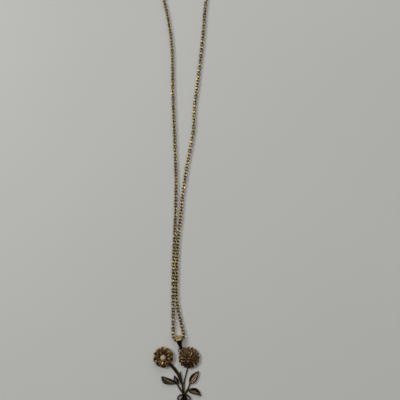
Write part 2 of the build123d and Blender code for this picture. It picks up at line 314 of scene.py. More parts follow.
def chain_gold():
    """Drawn wire with pale gold plating, painted bright in a link's middle as a painted highlight, and
    darker in its joints, tarnished and with painted shade.
    """
    finish, tree = new_finish("chain_gold_plated_wire")
    joint = add_node(tree, "ShaderNodeAttribute", attribute_name="joint").outputs["Fac"]
    rubbed = add_node(tree, "ShaderNodeAttribute", attribute_name="rubbed").outputs["Fac"]
    wear_and_painted_shade = add_node(tree, "ShaderNodeMath", {0: rubbed, 1: 0.08, 2: joint}, operation="MULTIPLY_ADD")
    tarnish_and_painted_shade = add_node(
        tree, "ShaderNodeMapRange", {"Value": wear_and_painted_shade.outputs[0], "From Min": 0.44, "From Max": 0.58}
    )
    # The pale colour is the painted highlight of a link's middle, the dark one the painted shade and
    # tarnished look of its joints.
    tone = add_node(
        tree,
        "ShaderNodeMix",
        {0: tarnish_and_painted_shade.outputs[0], "A": colour("FFE498"), "B": colour("604E22")},
        data_type="RGBA",
    )
    gloss = add_node(
        tree, "ShaderNodeMapRange", {"Value": tarnish_and_painted_shade.outputs[0], "To Min": 0.24, "To Max": 0.4}
    )
    metal = add_node(
        tree,
        "ShaderNodeBsdfPrincipled",
        {"Base Color": tone.outputs["Result"], "Metallic": 1.0, "Roughness": gloss.outputs[0]},
    )
    add_node(tree, "ShaderNodeOutputMaterial", {"Surface": metal.outputs[0]})
    return finish


wire_gold = chain_gold()
print("chain finish of", len(wire_gold.node_tree.nodes), "nodes")

# %% The pearl's finish
pearl_cloud_mm = 0.8         # the size of the soft clouds under the lacquer


def pearl_lacquer():
    """An imitation pearl: a bead under cream pearl lacquer, which is soft inside and glossy on top."""
    finish, tree = new_finish("cream_pearl_lacquer")
    position = add_node(tree, "ShaderNodeTexCoord").outputs["Object"]
    clouds = add_node(tree, "ShaderNodeTexNoise", {"Vector": position, "Scale": 1 / (pearl_cloud_mm * MM)})
    tone = add_node(
        tree,
        "ShaderNodeMix",
        {0: clouds.outputs[0], "A": colour("A08C6E"), "B": colour("B4A284")},
        data_type="RGBA",
    )
    bead = add_node(
        tree,
        "ShaderNodeBsdfPrincipled",
        {
            "Base Color": tone.outputs["Result"],
            "Roughness": 0.3,
            "Subsurface Weight": 0.2,
            "Subsurface Scale": 0.4 * MM,
            "Coat Weight": 0.7,
            "Coat Roughness": 0.1,
        },
    )
    add_node(tree, "ShaderNodeOutputMaterial", {"Surface": bead.outputs[0]})
    return finish


lacquer = pearl_lacquer()
finishes = {"cast_gold": antique, "polished_gold": polished, "chain_gold": wire_gold, "bead": lacquer}
print("finishes", ", ".join(finish.name for finish in finishes.values()))

# %% [markdown]
# ## How a casting is made
# A wax model of the whole bouquet is built up from petals, leaves and wires, and metal takes its place,
# so every joint is one smooth skin. Blender's voxel remesh does the same: it wraps closed shapes that
# run into each other in one skin, and a little smoothing rounds the corners as tumbling does. The back
# is ground flat on a wheel. What lies below its smoothed surroundings is marked as hollow.

# %% Tools for casting
flower_voxel = 0.055
leaf_voxel = 0.045
wire_voxel = 0.05
tumble_rounds = 2
sheet_triangles = 150000     # the most that a flower or the leaves keep
wire_triangles = 100000      # the most that the stems or the bow keep
surrounding_rounds = 30      # how often a surface is smoothed to find what lies around a point
full_depth = 0.12            # how far below its surroundings a point is wholly dark, in mm
print("voxels of", flower_voxel, leaf_voxel, "and", wire_voxel, "mm keep rims of 0.3 mm crisp")


def finished_mesh(maker):
    """The mesh that an object's modifiers make, in place of the object."""
    graph = bpy.context.evaluated_depsgraph_get()
    mesh = bpy.data.meshes.new_from_object(maker.evaluated_get(graph))
    bpy.data.objects.remove(maker)
    return mesh


def cast(name, shapes, voxel):
    """One skin round closed shapes in millimetres, with rounded corners and a flat back."""
    mould = bmesh.new()
    for shape in shapes:
        mould.from_mesh(shape)
    mesh = bpy.data.meshes.new(name)
    mould.to_mesh(mesh)
    maker = new_object(name, mesh)
    maker.modifiers.new("fuse", "REMESH").voxel_size = voxel
    tumble = maker.modifiers.new("tumble", "SMOOTH")
    tumble.iterations = tumble_rounds
    mesh = finished_mesh(maker)
    for vertex in mesh.vertices:
        vertex.co.z = max(vertex.co.z, 0)
    return mesh


def thin_out(mesh, triangles):
    """The same mesh with no more than the given number of triangles."""
    count = 2 * len(mesh.polygons)
    maker = new_object(mesh.name, mesh)
    maker.modifiers.new("thin", "DECIMATE").ratio = min(1, triangles / count)
    return finished_mesh(maker)


def mark_hollows(mesh):
    """Writes the attribute hollow: 1 where a point lies the full depth under its smoothed surroundings."""
    count = len(mesh.vertices)
    points = np.empty(count * 3)
    mesh.vertices.foreach_get("co", points)
    points = points.reshape(-1, 3)
    normals = np.empty(count * 3)
    mesh.vertex_normals.foreach_get("vector", normals)
    ends = np.empty(len(mesh.edges) * 2, int)
    mesh.edges.foreach_get("vertices", ends)
    one, other = ends.reshape(-1, 2).T
    neighbours = np.bincount(ends, minlength=count)[:, None]
    smooth = points
    for _ in range(surrounding_rounds):
        sums = [
            np.bincount(one, smooth[other, axis], count) + np.bincount(other, smooth[one, axis], count)
            for axis in range(3)
        ]
        smooth = np.array(sums).T / neighbours
    below = ((smooth - points) * normals.reshape(-1, 3)).sum(axis=1)
    hollow = mesh.attributes.new("hollow", "FLOAT", "POINT")
    hollow.data.foreach_set("value", np.clip(below / full_depth, -1, 1))


def mark_troughs(mesh, top, bottom):
    """Writes the attribute hollow by height on what faces up, from 0 at the top to 1 at the bottom, as the
    mask of a painted sheen.
    """
    troughs = [
        min(max((top - vertex.co.z) / (top - bottom), 0), 1) if vertex.normal.z > 0.3 else 0
        for vertex in mesh.vertices
    ]
    mesh.attributes.new("hollow", "FLOAT", "POINT").data.foreach_set("value", troughs)


def new_piece(name, mesh, slot, finish, *nodes):
    """Puts a mesh in millimetres into the model, in its finish and in place of the CAD nodes named."""
    mesh.transform(Matrix.Scale(MM, 4))
    mesh.materials.clear()
    mesh.materials.append(finish)
    mesh.polygons.foreach_set("use_smooth", [True] * len(mesh.polygons))
    piece = new_object(name, mesh)
    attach(piece, "root")
    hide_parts(*nodes)
    print(name, len(mesh.polygons), "faces, in place of", ", ".join(nodes))


# %% [markdown]
# ## A sheet shaped by a rule
# Petals and leaves are sheets. Each starts as a flat grid whose corners know how far along the sheet and
# how far across it they are, and a rule turns that into a place. Solidify then gives a petal its wall.

# %% Tools for sheets
weld = 0.001                 # corners closer than this, in mm, are one corner
print("corners closer than", weld, "mm become one")


def sheet(name, rows, columns, rule):
    """A grid of faces whose corners a rule places from along (0 to 1) and across (-1 to 1)."""
    along = np.repeat(np.linspace(0, 1, rows), columns)
    across = np.tile(np.linspace(-1, 1, columns), rows)
    points = np.stack(rule(along, across), axis=1)
    corner = np.arange(rows * columns).reshape(rows, columns)
    quads = np.stack([corner[:-1, :-1], corner[1:, :-1], corner[1:, 1:], corner[:-1, 1:]], axis=-1)
    mesh = bpy.data.meshes.new(name)
    mesh.from_pydata(points.tolist(), [], quads.reshape(-1, 4).tolist())
    return mesh


def with_wall(mesh, wall):
    """The sheet as a closed shell of the given thickness, laid under it."""
    welded = bmesh.new()
    welded.from_mesh(mesh)
    bmesh.ops.remove_doubles(welded, verts=welded.verts, dist=weld)
    bmesh.ops.recalc_face_normals(welded, faces=welded.faces)
    if sum(face.normal.z for face in welded.faces) < 0:
        bmesh.ops.reverse_faces(welded, faces=welded.faces)
    welded.to_mesh(mesh)
    maker = new_object(mesh.name, mesh)
    solidify = maker.modifiers.new("wall", "SOLIDIFY")
    solidify.thickness = wall
    solidify.offset = -1
    return finished_mesh(maker)


def to_the_back(mesh):
    """The sheet as a closed solid that reaches down to the flat back."""
    solid = bmesh.new()
    solid.from_mesh(mesh)
    bmesh.ops.remove_doubles(solid, verts=solid.verts, dist=weld)
    base = bmesh.ops.extrude_face_region(solid, geom=solid.faces[:])
    for corner in base["geom"]:
        if isinstance(corner, bmesh.types.BMVert):
            corner.co.z = 0
    bmesh.ops.recalc_face_normals(solid, faces=solid.faces)
    solid.to_mesh(mesh)
    return mesh


# %% [markdown]
# ## Geometry Nodes for what repeats
# A flower is one petal many times over. A tree takes the petal, puts it at a number of points and turns
# each copy, so changing a number changes the whole flower. The tree's inputs are its sizes, and every
# random turn comes from a fixed seed. Realize Instances makes the copies real, because an exported model
# can't hold instances.

# %% Tools for node trees
print("the trees are built and run in Blender", bpy.app.version_string)


def new_tree(name, sizes):
    """A Geometry Nodes tree with named inputs, its inputs' sockets and the socket for its result."""
    tree = bpy.data.node_groups.new(name, "GeometryNodeTree")
    tree.is_modifier = True
    tree.interface.new_socket("Geometry", in_out="OUTPUT", socket_type="NodeSocketGeometry")
    tree.interface.new_socket("Geometry", in_out="INPUT", socket_type="NodeSocketGeometry")
    for label, kind in sizes.items():
        tree.interface.new_socket(label, in_out="INPUT", socket_type="NodeSocket" + kind)
    given = add_node(tree, "NodeGroupInput").outputs
    result = add_node(tree, "NodeGroupOutput").inputs[0]
    return tree, given, result


def grow(tree, start, sizes):
    """Runs a tree on an object with the given sizes, and returns the mesh it makes."""
    modifier = start.modifiers.new(tree.name, "NODES")
    modifier.node_group = tree
    for socket in tree.interface.items_tree:
        if socket.in_out == "INPUT" and socket.name in sizes:
            modifier[socket.identifier] = sizes[socket.name]
    return finished_mesh(start)


# %% The tree for one ring of petals
ring_tree, given, result = new_tree(
    "ring_of_petals",
    {
        "Petal": "Object",
        "Count": "Int",
        "Root": "Float",
        "Height": "Float",
        "Tilt": "Float",
        "Turn": "Float",
        "Size": "Float",
        "Uneven": "Float",
        "Seed": "Int",
        "Finish": "Material",
    },
)
points = add_node(ring_tree, "GeometryNodePoints", {"Count": given["Count"]})
index = add_node(ring_tree, "GeometryNodeInputIndex").outputs[0]
place = add_node(ring_tree, "ShaderNodeMath", {0: math.tau, 1: given["Count"]}, operation="DIVIDE")
bearing = add_node(
    ring_tree, "ShaderNodeMath", {0: index, 1: place.outputs[0], 2: given["Turn"]}, operation="MULTIPLY_ADD"
)
foot = add_node(ring_tree, "ShaderNodeCombineXYZ", {"X": given["Root"], "Z": given["Height"]})
turned = add_node(
    ring_tree,
    "ShaderNodeVectorRotate",
    {"Vector": foot.outputs[0], "Angle": bearing.outputs[0]},
    rotation_type="Z_AXIS",
)
spread = add_node(
    ring_tree, "GeometryNodeSetPosition", {"Geometry": points.outputs[0], "Position": turned.outputs[0]}
)
tilt = add_node(ring_tree, "ShaderNodeMath", {0: given["Tilt"], 1: -1.0}, operation="MULTIPLY")
lean = add_node(ring_tree, "ShaderNodeCombineXYZ", {"Y": tilt.outputs[0], "Z": bearing.outputs[0]})
chance = add_node(ring_tree, "FunctionNodeRandomValue", {"Seed": given["Seed"]}, data_type="FLOAT_VECTOR")
chance.inputs[0].default_value = (-1, -1, -1)
wobble = add_node(
    ring_tree, "ShaderNodeVectorMath", {0: chance.outputs[0], "Scale": given["Uneven"]}, operation="SCALE"
)
angles = add_node(
    ring_tree, "ShaderNodeVectorMath", {0: lean.outputs[0], 1: wobble.outputs[0]}, operation="ADD"
)
rotation = add_node(ring_tree, "FunctionNodeEulerToRotation", {0: angles.outputs[0]})
petal = add_node(ring_tree, "GeometryNodeObjectInfo", {"Object": given["Petal"]})
copies = add_node(
    ring_tree,
    "GeometryNodeInstanceOnPoints",
    {
        "Points": spread.outputs[0],
        "Instance": petal.outputs["Geometry"],
        "Rotation": rotation.outputs[0],
        "Scale": given["Size"],
    },
)
real = add_node(ring_tree, "GeometryNodeRealizeInstances", {0: copies.outputs[0]})
finished = add_node(
    ring_tree, "GeometryNodeSetMaterial", {"Geometry": real.outputs[0], "Material": given["Finish"]}
)
ring_tree.links.new(finished.outputs[0], result)
print("tree", ring_tree.name, "with", len(ring_tree.nodes), "nodes")

# %% [markdown]
# ## The open flower
# The left flower has ten round petals, ten smaller ones above them and a pearl in the middle. A wax
# carver shapes them one by one. Here one rule gives the petal its round end, an arch along its length, a
# cup across that lifts its rims and a fine crease along the middle, and the tree repeats it. The pearl's
# seat is made by pushing everything inside a sphere out to it, as a round cutter would leave the wax.

# %% A round petal
open_place = Vector((-7.46, 13.0, 0))
disc_radius_open = 3.02
disc_height = 1.0
bead_centre = open_place + Vector((0, 0, 2.45))
bead_seat = 1.04
round_wall = 0.28


def round_petal(length, width, arch, cup):
    """A petal along X with a round end and a crease, arched along its length and cupped across."""
    widest = 0.60

    def rule(along, across):
        base = 0.45 + 0.55 * np.sin(math.pi / 2 * np.minimum(along / widest, 1))
        past = np.maximum(along - widest, 0) / (1 - widest)
        end = np.clip(1 - past**2.3, 0, 1) ** 0.5
        x = along * length
        y = across * width / 2 * np.where(along < widest, base, end)
        rise = arch * np.sin(math.pi * along**0.8) + cup * (2 * y / length) ** 2
        crease = -0.09 * np.exp(-((y / 0.13) ** 2)) * np.sin(math.pi * along)
        return x, y, rise + crease

    return new_object("petal", with_wall(sheet("petal", 29, 17, rule), round_wall))


outer_petal = round_petal(length=2.34, width=2.20, arch=0.36, cup=0.30)
inner_petal = round_petal(length=1.62, width=1.20, arch=0.10, cup=0.34)
print("petals of", len(outer_petal.data.polygons), "faces")

# %% Rings of petals and round blocks
ring_sides = 96              # corners round a block or a ring of wire
Ring = namedtuple("Ring", "count root height tilt turn size uneven seed")


def ring_of_petals(petal, ring):
    """One ring of petals, made by the ring tree."""
    start = new_object("ring", bpy.data.meshes.new("ring"))
    sizes = {
        "Petal": petal,
        "Count": ring.count,
        "Root": ring.root,
        "Height": ring.height,
        "Tilt": math.radians(ring.tilt),
        "Turn": math.radians(ring.turn),
        "Size": ring.size,
        "Uneven": math.radians(ring.uneven),
        "Seed": ring.seed,
        "Finish": finishes["cast_gold"],
    }
    return grow(ring_tree, start, sizes)


def round_block(radius, top_radius, height, floor=0.0):
    """A plain round block or cone that stands on the given floor."""
    block = bmesh.new()
    middle_up = Matrix.Translation((0, 0, floor + height / 2))
    bmesh.ops.create_cone(
        block,
        cap_ends=True,
        segments=ring_sides,
        radius1=radius,
        radius2=top_radius,
        depth=height,
        matrix=middle_up,
    )
    mesh = bpy.data.meshes.new("block")
    block.to_mesh(mesh)
    return mesh


def placed(mesh, place):
    """The mesh moved to its place."""
    mesh.transform(Matrix.Translation(place))
    return mesh


open_shapes = [
    round_block(disc_radius_open, disc_radius_open, disc_height),
    ring_of_petals(outer_petal, Ring(10, 1.36, 0.95, 5, 18, 1.0, 2.0, 3)),
    ring_of_petals(inner_petal, Ring(10, 0.94, 1.30, 21, 0, 1.0, 2.5, 5)),
    round_block(1.3, 1.15, 1.85),
]
for helper in (outer_petal, inner_petal):
    bpy.data.objects.remove(helper)
print("open flower of", len(open_shapes), "shapes")

# %% Cast the open flower
open_mesh = cast("open_flower", [placed(shape, open_place) for shape in open_shapes], flower_voxel)
for vertex in open_mesh.vertices:
    reach = vertex.co - bead_centre
    if reach.length < bead_seat:
        vertex.co = bead_centre + reach.normalized() * bead_seat
open_mesh = thin_out(open_mesh, sheet_triangles)
mark_hollows(open_mesh)
new_piece("open_flower", open_mesh, "cast_gold", antique, "bouquet")

# %% [markdown]
# ## The domed flower
# The right flower is a dome of pointed petals in four rings, closed over at the top. The same tree makes
# each ring. The petals lie over each other like roof tiles, with their tips outwards and down, and get
# smaller and flatter towards the top. Each ring is turned, so that its petals cover the gaps of the ring
# below. A small ring of wire behind the flower, soldered to the casting, carries the bail.

# %% A pointed petal
pointed_wall = 0.26


def pointed_petal(length, width, cup):
    """A pointed petal along X, hollowed, with a sharp crease along the middle."""

    def rule(along, across):
        widest = 0.62
        base = 0.5 + 0.5 * np.sin(math.pi / 2 * np.minimum(along / widest, 1))
        end = 1 - (np.maximum(along - widest, 0) / (1 - widest)) ** 2.8
        x = along * length
        y = across * width / 2 * np.where(along < widest, base, end)
        bowl = cup * (np.sin(math.pi * along) + (2 * y / length) ** 2)
        crease = 0.16 * np.abs(across) - 0.08
        return x, y, bowl + crease

    return new_object("petal", with_wall(sheet("petal", 25, 13, rule), pointed_wall))


dome_petal = pointed_petal(length=2.0, width=1.46, cup=0.16)
print("petal of", len(dome_petal.data.polygons), "faces")

# %% The hanging ring, and lumps of wax


def wire_ring(radius, wire):
    """A ring of round wire, lying flat round the origin."""
    around = bpy.data.curves.new("ring", "CURVE")
    around.dimensions = "3D"
    around.bevel_depth = wire / 2
    around.bevel_resolution = 6
    line = around.splines.new("POLY")
    line.points.add(ring_sides - 1)
    for number, point in enumerate(line.points):
        turn = math.tau * number / ring_sides
        point.co = (radius * math.cos(turn), radius * math.sin(turn), 0, 1)
    line.use_cyclic_u = True
    return finished_mesh(new_object("ring", around))


def ball(radius, place, shape=(1, 1, 1)):
    """A round or oval lump at its place."""
    lump = bmesh.new()
    bmesh.ops.create_icosphere(lump, subdivisions=4, radius=radius)
    bmesh.ops.scale(lump, verts=lump.verts, vec=shape)
    bmesh.ops.translate(lump, verts=lump.verts, vec=place)
    mesh = bpy.data.meshes.new("lump")
    lump.to_mesh(mesh)
    return mesh


hanging_ring_place = Vector((-0.99, 15.35, 0.77))
hanging_ring = placed(wire_ring(radius=1.01, wire=0.4), hanging_ring_place)
print("hanging ring of", len(hanging_ring.polygons), "faces")

# %% Cast the domed flower
dome_place = Vector((1.71, 12.81, 0))
dome_disc = 2.95
dome_rise = 1.5
dome_core = 0.62
dome_rings = (
    Ring(16, 1.82, 1.55, -17, 0, 0.98, 4.0, 3),
    Ring(14, 1.32, 2.06, -14, 12, 0.90, 5.0, 4),
    Ring(11, 0.80, 2.40, -9, 4, 0.78, 6.0, 5),
    Ring(7, 0.34, 2.66, -2, 20, 0.60, 6.0, 6),
)
dome_shapes = [ring_of_petals(dome_petal, ring) for ring in dome_rings]
bpy.data.objects.remove(dome_petal)
dome_shapes += [
    round_block(dome_disc, dome_disc, disc_height),
    round_block(dome_disc, dome_core, dome_rise, floor=disc_height),
    ball(dome_core, (0, 0, disc_height + dome_rise)),
]
dome_shapes = [placed(shape, dome_place) for shape in dome_shapes]
dome_shapes.append(hanging_ring)
dome_mesh = thin_out(cast("domed_flower", dome_shapes, flower_voxel), sheet_triangles)
mark_hollows(dome_mesh)
new_piece("domed_flower", dome_mesh, "cast_gold", antique_dark, "bouquet")

# %% [markdown]
# ## Stems and leaves
# The stems are wires of the wax model, thick at the knot and thinner towards the flowers. The leaves are
# shallow trays: a raised rim, a hollow, a rib along the middle and side veins. A leaf's edge is a sine
# curve that is stretched so that it is widest where the real leaf is.

# %% Leaves
Side = namedtuple("Side", "width at")
Leaf = namedtuple("Leaf", "foot tip left right bend hollow")
leaf_height = 0.78
leaf_floor = 0.36
leaves = (
    Leaf((-2.25, 3.40), (-8.15, 6.25), Side(1.80, 0.66), Side(0.62, 0.36), 0.0, 0.02),
    Leaf((-2.26, 3.40), (-3.66, 6.50), Side(0.80, 0.40), Side(0.85, 0.30), 0.0, 0.10),
    Leaf((-0.45, 2.60), (-1.36, 8.00), Side(0.36, 0.45), Side(0.40, 0.45), 0.22, 0.15),
    Leaf((2.05, 3.62), (5.15, 8.00), Side(1.36, 0.42), Side(1.20, 0.42), 0.0, 0.34),
    Leaf((1.68, 1.59), (6.02, -0.60), Side(1.30, 0.42), Side(0.95, 0.30), 0.34, 0.14),
)


def leaf_solid(leaf):
    """A leaf with a raised rim, a rib and veins, from its top down to the flat back."""
    foot = Vector(leaf.foot)
    length = (Vector(leaf.tip) - foot).length
    way = (Vector(leaf.tip) - foot) / length

    def rule(along, across):
        side = np.where(across > 0, leaf.left.width, leaf.right.width)
        widest = np.where(across > 0, leaf.left.at, leaf.right.at)
        width = side * np.clip(np.sin(math.pi * along ** (math.log(0.5) / np.log(widest))), 0, 1) ** 0.8
        aside = across * width + leaf.bend * np.sin(math.pi * along**1.4)
        x = foot.x + way.x * along * length - way.y * aside
        y = foot.y + way.y * along * length + way.x * aside
        edge = np.clip((np.abs(across) - leaf.hollow) / 0.36, 0, 1)
        rim = 0.65 * edge * edge * (3 - 2 * edge) + 0.35 * across**2
        rib = 0.6 * np.exp(-((across / 0.12) ** 2)) * (1 - along)
        veins = 0.09 * np.sin(math.tau * (5 * along - 2.2 * np.abs(across))) * (1 - rim)
        end = np.clip(1 - np.sin(math.pi * along) / 0.3, 0, 1)
        relief = np.maximum(rim, rib) + veins
        z = leaf_floor + (leaf_height - leaf_floor) * (relief + (0.9 - relief) * end)
        return x, y, z

    return to_the_back(sheet("leaf", 61, 33, rule))


leaf_shapes = [leaf_solid(leaf) for leaf in leaves]
print("leaves", [round(math.dist(leaf.foot, leaf.tip), 1) for leaf in leaves], "mm long")

# %% Stems
Stem = namedtuple("Stem", "points foot end")
stems = (
    Stem(
        [(-0.05, 0.1), (-0.25, 1.6), (-0.63, 3.4), (-1.55, 5.7), (-2.75, 7.8), (-4.1, 9.4), (-5.7, 11.2)],
        0.86,
        1.2,
    ),
    Stem([(0.0, 0.1), (-0.06, 2.7), (0.1, 4.3), (0.43, 6.2), (0.92, 8.0), (1.5, 10.3)], 0.54, 0.46),
    Stem([(-0.3, 0.2), (-1.3, 1.5), (-2.2, 3.0), (-3.2, 4.1)], 0.64, 0.56),
    Stem([(-0.1, 0.4), (-0.35, 1.6), (-0.55, 2.7), (-0.75, 3.9)], 0.54, 0.46),
    Stem([(0.2, 0.3), (1.1, 1.5), (1.6, 2.5), (2.2, 3.9), (2.7, 4.6)], 0.58, 0.50),
    Stem([(0.25, 0.2), (1.1, 0.95), (1.75, 1.6), (2.5, 1.35)], 0.58, 0.50),
    Stem([(0.0, -0.3), (-0.7, -2.8), (-1.31, -5.24)], 0.60, 0.54),
    Stem([(0.0, -0.3), (-0.1, -2.6), (-0.17, -4.75)], 0.60, 0.54),
    Stem([(0.0, -0.3), (0.45, -2.9), (0.98, -5.53)], 0.60, 0.54),
)


def stem_solid(stem):
    """A smooth round stem through its points, its middle line three quarters of its radius up."""
    line = bpy.data.curves.new("stem", "CURVE")
    line.dimensions = "3D"
    line.bevel_depth = 1.0
    line.bevel_resolution = 8
    line.use_fill_caps = True
    spline = line.splines.new("BEZIER")
    spline.bezier_points.add(len(stem.points) - 1)
    for number, (x, y) in enumerate(stem.points):
        radius = (stem.foot + (stem.end - stem.foot) * number / (len(stem.points) - 1)) / 2
        point = spline.bezier_points[number]
        point.co = (x, y, radius * 0.75)
        point.radius = radius
        point.handle_left_type = "AUTO"
        point.handle_right_type = "AUTO"
    spline.resolution_u = 16
    return finished_mesh(new_object("stem", line))


stem_shapes = [stem_solid(stem) for stem in stems]
print("stems", len(stem_shapes))

# %% [markdown]
# ## The bow
# Where the stems cross, a ribbon is tied in a bow: two loops that stand on edge, a gathered knot and two
# hanging ends. A curve with Blender's extrude and bevel makes a band that stands on edge.

# %% Loops, hanging ends and knot
Loop = namedtuple("Loop", "bearing reach radius")
loops = (Loop(224.0, 1.85, 0.79), Loop(307.0, 1.85, 0.79))
ribbon_thickness = 0.42
ribbon_height = 0.95


def bow_loop(loop):
    """A ribbon standing on edge in the shape of a drop, with its point in the knot."""
    band = bpy.data.curves.new("loop", "CURVE")
    band.dimensions = "3D"
    band.extrude = (ribbon_height - ribbon_thickness) / 2
    band.bevel_depth = ribbon_thickness / 2
    band.bevel_resolution = 4
    spline = band.splines.new("NURBS")
    wide = loop.radius * 1.25
    far = loop.reach + loop.radius * 1.2
    outline = [(0.0, 0.0), (loop.reach * 0.5, wide * 0.75), (loop.reach * 1.05, wide), (far, wide * 0.75)]
    outline += [(far, -wide * 0.75), (loop.reach * 1.05, -wide), (loop.reach * 0.5, -wide * 0.75)]
    spline.points.add(len(outline) - 1)
    turn = Matrix.Rotation(math.radians(loop.bearing), 2)
    for point, corner in zip(spline.points, outline):
        point.co = (*(turn @ Vector(corner)), ribbon_height / 2, 1)
    spline.order_u = 4
    spline.use_cyclic_u = True
    return finished_mesh(new_object("loop", band))


def ribbon_end(bearing, length):
    """A hanging end of the ribbon, wider towards its slanted cut, with a fold along it."""
    turn = math.radians(bearing)

    def rule(along, across):
        reach = along * (length + 0.22 * across)
        aside = across * (0.27 + 0.12 * along) + 0.12 * np.sin(math.tau * along * 0.6)
        x = math.cos(turn) * reach - math.sin(turn) * aside
        y = math.sin(turn) * reach + math.cos(turn) * aside
        z = 0.5 + 0.12 * np.cos(math.pi * across) + 0.06 * np.sin(math.tau * along)
        return x, y, z

    return to_the_back(sheet("end", 41, 13, rule))


bow_shapes = [bow_loop(loop) for loop in loops]
bow_shapes += [ribbon_end(241.0, 4.2), ribbon_end(294.0, 3.95)]
bow_shapes += [
    ball(0.62, (-0.36, 0, 0.50), (0.62, 1.0, 0.95)),
    ball(0.66, (0.0, 0, 0.52), (0.55, 1.0, 0.95)),
    ball(0.62, (0.36, 0, 0.50), (0.62, 1.0, 0.95)),
]
print("bow of", len(bow_shapes), "shapes")

# %% Cast the stems, leaves and bow
trough_top = 0.17            # a leaf's painted sheen starts this far above its floor
trough_bottom = 0.03         # down to here, where the painted sheen is palest
stems_mesh = thin_out(cast("stems", stem_shapes, wire_voxel), wire_triangles)
mark_hollows(stems_mesh)
new_piece("stems", stems_mesh, "cast_gold", antique_satin, "bouquet")
leaves_mesh = thin_out(cast("leaves", leaf_shapes, leaf_voxel), sheet_triangles)
# The leaves' up-facing troughs are painted pale, a painted sheen, and their rims near black, a painted
# reflection.
mark_troughs(leaves_mesh, leaf_floor + trough_top, leaf_floor + trough_bottom)
new_piece("leaves", leaves_mesh, "cast_gold", leaf_painted_sheen, "bouquet")
bow_mesh = thin_out(cast("bow", bow_shapes, wire_voxel), wire_triangles)
mark_hollows(bow_mesh)
new_piece("bow", bow_mesh, "cast_gold", antique_polished, "bouquet")

# %% [markdown]
# ## The chain
# A cable chain is one oval link over and over, each through the last and square to it. On a table the
# links lean to the left and to the right by turns, by the angle called lean. The chain has also rolled
# over a little, by the angle called bias, so one link lies nearly flat and the next nearly stands, and
# the eye sees a row of beads. The route is a NURBS curve, whose points were chosen along the
# photograph's two strands and round the hidden part of the loop, and its ends hang in the two rings.
# The tree counts how many links fit, so that each is one pitch from the next, with some slack that lets
# the chain turn sharply in the bail. It writes two attributes for the finish. The one named joint grows
# from a link's middle to its ends, and the finish paints the middle bright, a painted highlight, and the
# ends dark, where the wire is tarnished and where a painted shade stands for the shade between links. The
# one named rubbed differs from link to link.

# %% The tree for the links: where each link goes
chain_tree, given, result = new_tree(
    "cable_chain",
    {
        "Pitch": "Float",
        "Wire": "Float",
        "Width": "Float",
        "Play": "Float",
        "Lean": "Float",
        "Bias": "Float",
        "Uneven": "Float",
        "Seed": "Int",
        "Finish": "Material",
    },
)
length = add_node(chain_tree, "GeometryNodeCurveLength", {0: given["Geometry"]})
pairs = add_node(
    chain_tree, "ShaderNodeMath", {0: length.outputs[0], 1: given["Pitch"]}, operation="DIVIDE"
)
half = add_node(chain_tree, "ShaderNodeMath", {0: pairs.outputs[0], 1: 0.5}, operation="MULTIPLY")
whole = add_node(chain_tree, "ShaderNodeMath", {0: half.outputs[0]}, operation="ROUND")
count = add_node(
    chain_tree, "ShaderNodeMath", {0: whole.outputs[0], 1: 2.0, 2: 1.0}, operation="MULTIPLY_ADD"
)
stops = add_node(
    chain_tree,
    "GeometryNodeCurveToPoints",
    {"Curve": given["Geometry"], "Count": count.outputs[0]},
    mode="COUNT",
)
along = add_node(
    chain_tree,
    "FunctionNodeAxesToRotation",
    {0: stops.outputs["Tangent"], 1: (0.0, 0.0, 1.0)},
    primary_axis="X",
    secondary_axis="Z",
)
index = add_node(chain_tree, "GeometryNodeInputIndex").outputs[0]
odd = add_node(chain_tree, "ShaderNodeMath", {0: index, 1: 2.0}, operation="MODULO")
side = add_node(chain_tree, "ShaderNodeMath", {0: odd.outputs[0], 1: 2.0, 2: -1.0}, operation="MULTIPLY_ADD")
roll = add_node(
    chain_tree,
    "ShaderNodeMath",
    {0: side.outputs[0], 1: given["Lean"], 2: given["Bias"]},
    operation="MULTIPLY_ADD",
)
chance = add_node(chain_tree, "FunctionNodeRandomValue", {"Seed": given["Seed"]}, data_type="FLOAT")
chance.inputs[2].default_value = -1.0
leaned = add_node(
    chain_tree,
    "ShaderNodeMath",
    {0: chance.outputs[1], 1: given["Uneven"], 2: roll.outputs[0]},
    operation="MULTIPLY_ADD",
)
about = add_node(chain_tree, "ShaderNodeCombineXYZ", {"X": leaned.outputs[0]})
rolled = add_node(chain_tree, "FunctionNodeEulerToRotation", {0: about.outputs[0]})
rotation = add_node(
    chain_tree,
    "FunctionNodeRotateRotation",
    {0: along.outputs[0], 1: rolled.outputs[0]},
    rotation_space="LOCAL",
)
print("inputs", ", ".join(socket.name for socket in chain_tree.interface.items_tree))

# %% The tree for the links: one oval link
link_corners = 16            # round the oval of one link, which is enough for a link of three pixels
wire_corners = 6             # round its wire

bend_radius = add_node(
    chain_tree, "ShaderNodeMath", {0: given["Width"], 1: given["Wire"]}, operation="SUBTRACT"
)
bend_radius = add_node(
    chain_tree, "ShaderNodeMath", {0: bend_radius.outputs[0], 1: 0.5}, operation="MULTIPLY"
)
tight = add_node(chain_tree, "ShaderNodeMath", {0: given["Pitch"], 1: given["Wire"]}, operation="ADD")
loose = add_node(chain_tree, "ShaderNodeMath", {0: tight.outputs[0], 1: given["Play"]}, operation="ADD")
half_link = add_node(chain_tree, "ShaderNodeMath", {0: loose.outputs[0], 1: 0.5}, operation="MULTIPLY")
straight = add_node(
    chain_tree, "ShaderNodeMath", {0: half_link.outputs[0], 1: bend_radius.outputs[0]}, operation="SUBTRACT"
)
around = add_node(
    chain_tree,
    "GeometryNodeCurvePrimitiveCircle",
    {"Resolution": link_corners, "Radius": bend_radius.outputs[0]},
)
half_corner = (0, 0, math.pi / link_corners)
off_centre = add_node(
    chain_tree, "GeometryNodeTransform", {"Geometry": around.outputs[0], "Rotation": half_corner}
)
where = add_node(chain_tree, "GeometryNodeInputPosition").outputs[0]
